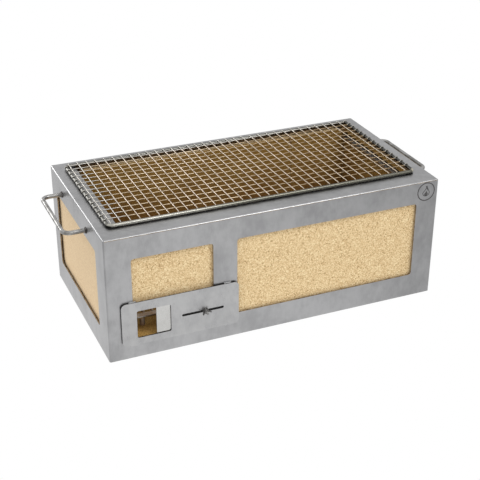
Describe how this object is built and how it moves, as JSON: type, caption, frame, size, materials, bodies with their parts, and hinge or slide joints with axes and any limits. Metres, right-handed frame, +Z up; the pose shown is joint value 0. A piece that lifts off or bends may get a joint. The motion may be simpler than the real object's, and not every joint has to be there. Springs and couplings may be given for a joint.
{
  "type": "hibachi grill",
  "caption": "Table-top charcoal grill: a steel box lined with insulating slabs seen through its windows, with a loose wire net, end handles and a sliding air vent.",
  "frame": {"origin": "middle of the flat underside, on the surface the grill stands on", "axes": "+Z up, +X to the right as seen by someone facing the air vent, +Y away from that person towards the back"},
  "size_m": [0.589, 0.2884, 0.1993],
  "materials": {
    "sheet": "satin",
    "bright_sheet": "satin",
    "rod": "polished",
    "net_wire": "polished",
    "weld": "matte",
    "fastener": "satin",
    "grate_steel": "satin",
    "slab": "matte"
  },
  "bodies": {
    "grill": {"casing": "sheet", "base_plate": "sheet", "floor_left_slab": "slab", "floor_right_slab": "slab", "front_left_slab": "slab", "front_right_slab": "slab", "back_left_slab": "slab", "back_right_slab": "slab", "left_slab": "slab", "right_slab": "slab", "left_rail": "grate_steel", "right_rail": "grate_steel", "vent_plate": "sheet", "vent_upper_guide": "sheet", "vent_lower_guide": "sheet", "vent_plate_welds": "weld", "left_handle": "rod", "right_handle": "rod", "left_handle_welds": "weld", "right_handle_welds": "weld"},
    "slider": {"vent_slider": "bright_sheet", "slider_stud": "fastener", "stud_washer": "fastener"},
    "nut": {"wing_nut": "fastener"},
    "net": {"net_rim": "rod", "net_long_wires": "net_wire", "net_cross_wires": "net_wire"},
    "grate": {"grate_frame": "grate_steel", "grate_rods": "grate_steel", "grate_ties": "grate_steel", "grate_feet": "grate_steel"}
  },
  "joints": [
    {"name": "vent_slide", "type": "slide", "parent": "grill", "child": "slider", "axis": [1, 0, 0], "range_m": [-0.03, 0.027]},
    {"name": "wing_nut_turn", "type": "hinge", "parent": "slider", "child": "nut", "pos_m": [-0.117, -0.142, 0.054], "axis": [0, -1, 0], "range_deg": [-360, 0]},
    {"name": "net_lift", "type": "slide", "parent": "grill", "child": "net", "axis": [0, 0, 1], "range_m": [0, 0.15]},
    {"name": "grate_lift", "type": "slide", "parent": "grill", "child": "grate", "axis": [0, 0, 1], "range_m": [0, 0.11]}
  ]
}
